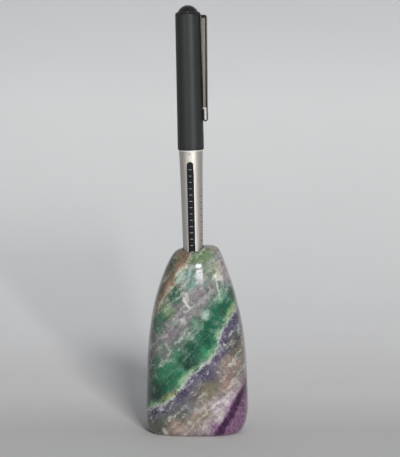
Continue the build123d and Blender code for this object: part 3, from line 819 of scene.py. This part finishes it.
def bar(x, y, width, height, parts=6):
    """A bar with rounded ends as points and faces of a drawing."""
    bluntness, end_share = 6, 0.12
    points, faces = [], []
    for i in range(parts + 1):
        share = 2 * i / parts - 1
        half = height / 2 * (1 - share**bluntness) ** 0.5 + height * end_share
        points += [(x + width / 2 * share, y - half), (x + width / 2 * share, y + half)]
    for i in range(parts):
        faces.append((2 * i, 2 * i + 2, 2 * i + 3, 2 * i + 1))
    return points, faces


def join_drawings(drawings):
    points, faces = [], []
    for more_points, more_faces in drawings:
        start = len(points)
        points += more_points
        faces += [tuple(start + i for i in face) for face in more_faces]
    return points, faces


def digit(text, x, y, size):
    """A plain numeral that reads along the pen, cut into small faces so that it bends with the barrel."""
    curve = bpy.data.curves.new("numeral", "FONT")
    curve.body = text
    curve.size = size
    curve.align_x, curve.align_y = "CENTER", "CENTER"
    curve.resolution_u = 3
    obj = add_object("numeral", curve)
    mesh = bpy.data.meshes.new_from_object(obj.evaluated_get(bpy.context.evaluated_depsgraph_get()))
    points = [(x - v.co.y, y + v.co.x) for v in mesh.vertices]
    faces = [tuple(p.vertices) for p in mesh.polygons]
    bpy.data.objects.remove(obj)
    bpy.data.curves.remove(curve)
    bpy.data.meshes.remove(mesh)
    return points, faces


def ring(name, body, material, along, radius, profile_radius, squash=1.0):
    """A bead round the pen at a station along it, as many times taller than wide as its squash says."""
    bm = bmesh.new()
    around, across = 96, 16
    rows = []
    for i in range(around):
        angle = 2 * pi * i / around
        out = WINDOW_WAY * cos(angle) + CLIP_WAY * sin(angle)
        row = []
        for j in range(across):
            turn = 2 * pi * j / across
            reach = radius + profile_radius * cos(turn)
            height = along + profile_radius * squash * sin(turn)
            row.append(bm.verts.new(PEN_FOOT + (out * reach + PEN_UP * height) * MM))
        rows.append(row)
    for i in range(around):
        for j in range(across):
            nearby, after = rows[i], rows[(i + 1) % around]
            bm.faces.new((nearby[j], after[j], after[(j + 1) % across], nearby[(j + 1) % across]))
    bmesh.ops.recalc_face_normals(bm, faces=bm.faces)
    mesh = bpy.data.meshes.new(name)
    bm.to_mesh(mesh)
    bm.free()
    mesh.shade_smooth()
    mesh.materials.append(material)
    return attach(add_object(name, mesh), body)


def pen_details():
    window = surface_of("window_tube")
    sleeve = surface_of("barrel_sleeve")
    white_print = moulded("white_print", (186, 184, 194), 0.5, grain_depth=0.001)
    dark_print = moulded("dark_print", (40, 40, 42), 0.5, grain_depth=0.001)

    first_tick, pitch, count, thin = 74.2, 2.9, 21, 0.16
    long_tick, short_tick = 1.7, 1.3
    ticks = []
    for i in range(count):
        width = long_tick if i % 5 in (0, 4) else short_tick
        ticks.append(bar(0.0, first_tick - pitch * i, width, thin))
    wrap("window_ticks", window, *join_drawings(ticks), "pen", white_print)

    # A plain scale up the barrel: a dash at each number and halfway to the next
    scale_top, half_step, number_count = 64.6, 1.45, 9
    number_arc, number_size, dash_arc, dash_length, dash_width = 5.2, 1.6, 6.5, 1.0, 0.3
    stations = [scale_top - half_step * i for i in range(2 * number_count - 1)]
    numbers = [digit(str(i + 1), number_arc, at, number_size) for i, at in enumerate(stations[::2])]
    dashes = [bar(dash_arc, at, dash_length, dash_width) for at in stations]
    scale = wrap("barrel_scale", sleeve, *join_drawings(numbers + dashes), "pen", dark_print)
    dot_station, dot_radius, dot_sides = 81.25, 0.3, 16
    turns = [2 * pi * i / dot_sides for i in range(dot_sides)]
    dot = [(dot_radius * cos(turn), dot_station + dot_radius * sin(turn)) for turn in turns]
    wrap("barrel_dot", sleeve, dot, [tuple(range(dot_sides))], "pen", dark_print)

    # A polished ring at the sleeve's top edge, its near-white colour a painted highlight
    bright = satin_metal("edge_painted_highlight", (252, 250, 246), 0.34, metal=0.3)
    ring("barrel_edge_ring", "pen", bright, along=82.62, radius=5.36, profile_radius=0.16, squash=1.5)
    dark_chrome = satin_metal("dark_chrome", (112, 112, 114), 0.1, grain_length=1.0)
    ring("dome_bead", "cap", dark_chrome, along=145.9, radius=4.42, profile_radius=0.2)


def dress(node, material):
    for slot in nodes[node].material_slots:
        slot.material = material


dress("stone_body", stone_material())
dress("barrel_sleeve", satin_metal("silver", (198, 194, 188), 0.52, metal=0.86))
smoke = {"Transmission_Weight": 0.9, "IOR": 1.49}
dress("window_tube", thread_material("smoke_plastic", (70, 72, 84), 0.08, foot=82.0, top=88.0, **smoke))
dress("tail_plug", moulded("grey_plastic", (96, 98, 100), 0.4))
dress("ink_tube", moulded("tube_plastic", (206, 210, 212), 0.25, Transmission_Weight=0.5))
dress("ink", moulded("black_ink", (8, 8, 14), 0.1))
dress("ink_follower", moulded("grease", (186, 180, 156), 0.2, Transmission_Weight=0.4))
dress("tip_holder", moulded("white_plastic", (222, 222, 219), 0.35))
dress("writing_point", satin_metal("point_steel", (196, 194, 190), 0.22, grain_length=1.0))
dress("point_ball", satin_metal("ball_steel", (214, 214, 214), 0.08, grain_length=1.0))
dress("grip_section", thread_material("grip_plastic", (44, 45, 47), 0.45, foot=82.2, top=87.6))
dress("nose_cone", satin_metal("nose_metal", (216, 213, 208), 0.26, grain_length=1.0))
dress("cap_shell", cap_material())
dress("cap_liner", moulded("liner_plastic", (196, 200, 202), 0.3))
dress("tip_seal", moulded("seal_rubber", (62, 62, 64), 0.7))
dress("finial", moulded("gloss_black", (24, 25, 28), 0.14, grain_depth=0.001))
dress("clip", clip_material())
pen_details()

stage()
camera()
world()
lamps()
bpy.context.scene.view_settings.view_transform = "Standard"
